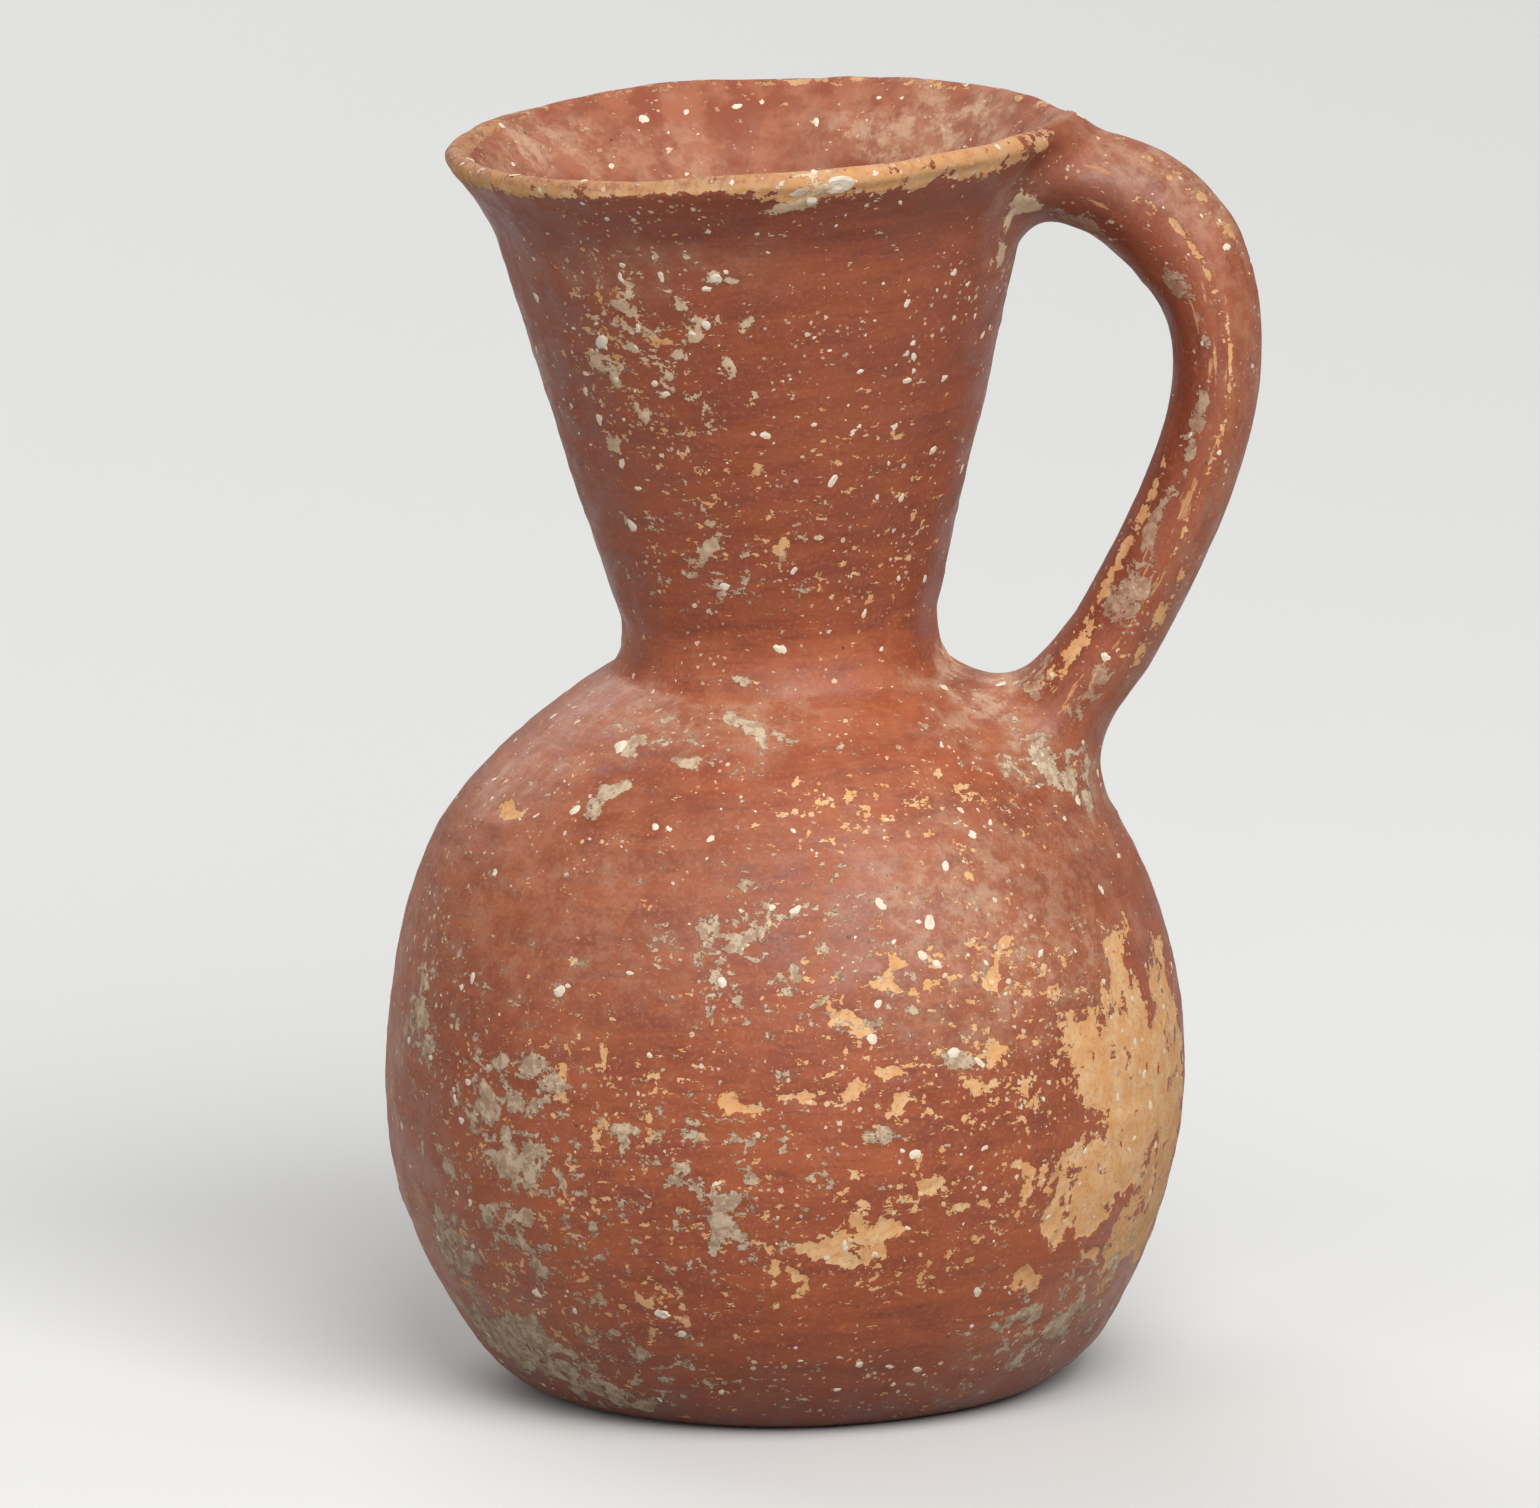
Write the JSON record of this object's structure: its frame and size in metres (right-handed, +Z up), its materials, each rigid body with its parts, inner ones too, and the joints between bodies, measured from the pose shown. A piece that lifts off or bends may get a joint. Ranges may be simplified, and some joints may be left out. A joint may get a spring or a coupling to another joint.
{
  "type": "jug",
  "caption": "Hand-built earthenware jug: rounded body on a flat base, funnel neck with a thin turned-out lip, and a loop handle from rim to shoulder for pouring.",
  "frame": {"origin": "centre of the flat underside of the base", "axes": "+Z up along the body's axis, +X toward the handle, +Y completes a right-handed set"},
  "size_m": [0.1017, 0.0922, 0.1465],
  "materials": {
    "slipped_clay": "burnished red slip, worn and pitted",
    "bare_clay": "matt unslipped clay",
    "worn_rim_clay": "red slip worn to ochre clay at the edge"
  },
  "bodies": {
    "root": {"base_disc": "slipped_clay", "base_seam_coil": "bare_clay", "lower_wall": "slipped_clay", "shoulder_wall": "slipped_clay", "neck_luting_coil": "slipped_clay", "neck": "slipped_clay", "rim_coil": "worn_rim_clay", "handle": "slipped_clay", "handle_rim_luting": "slipped_clay", "handle_shoulder_luting": "slipped_clay"}
  },
  "joints": []
}
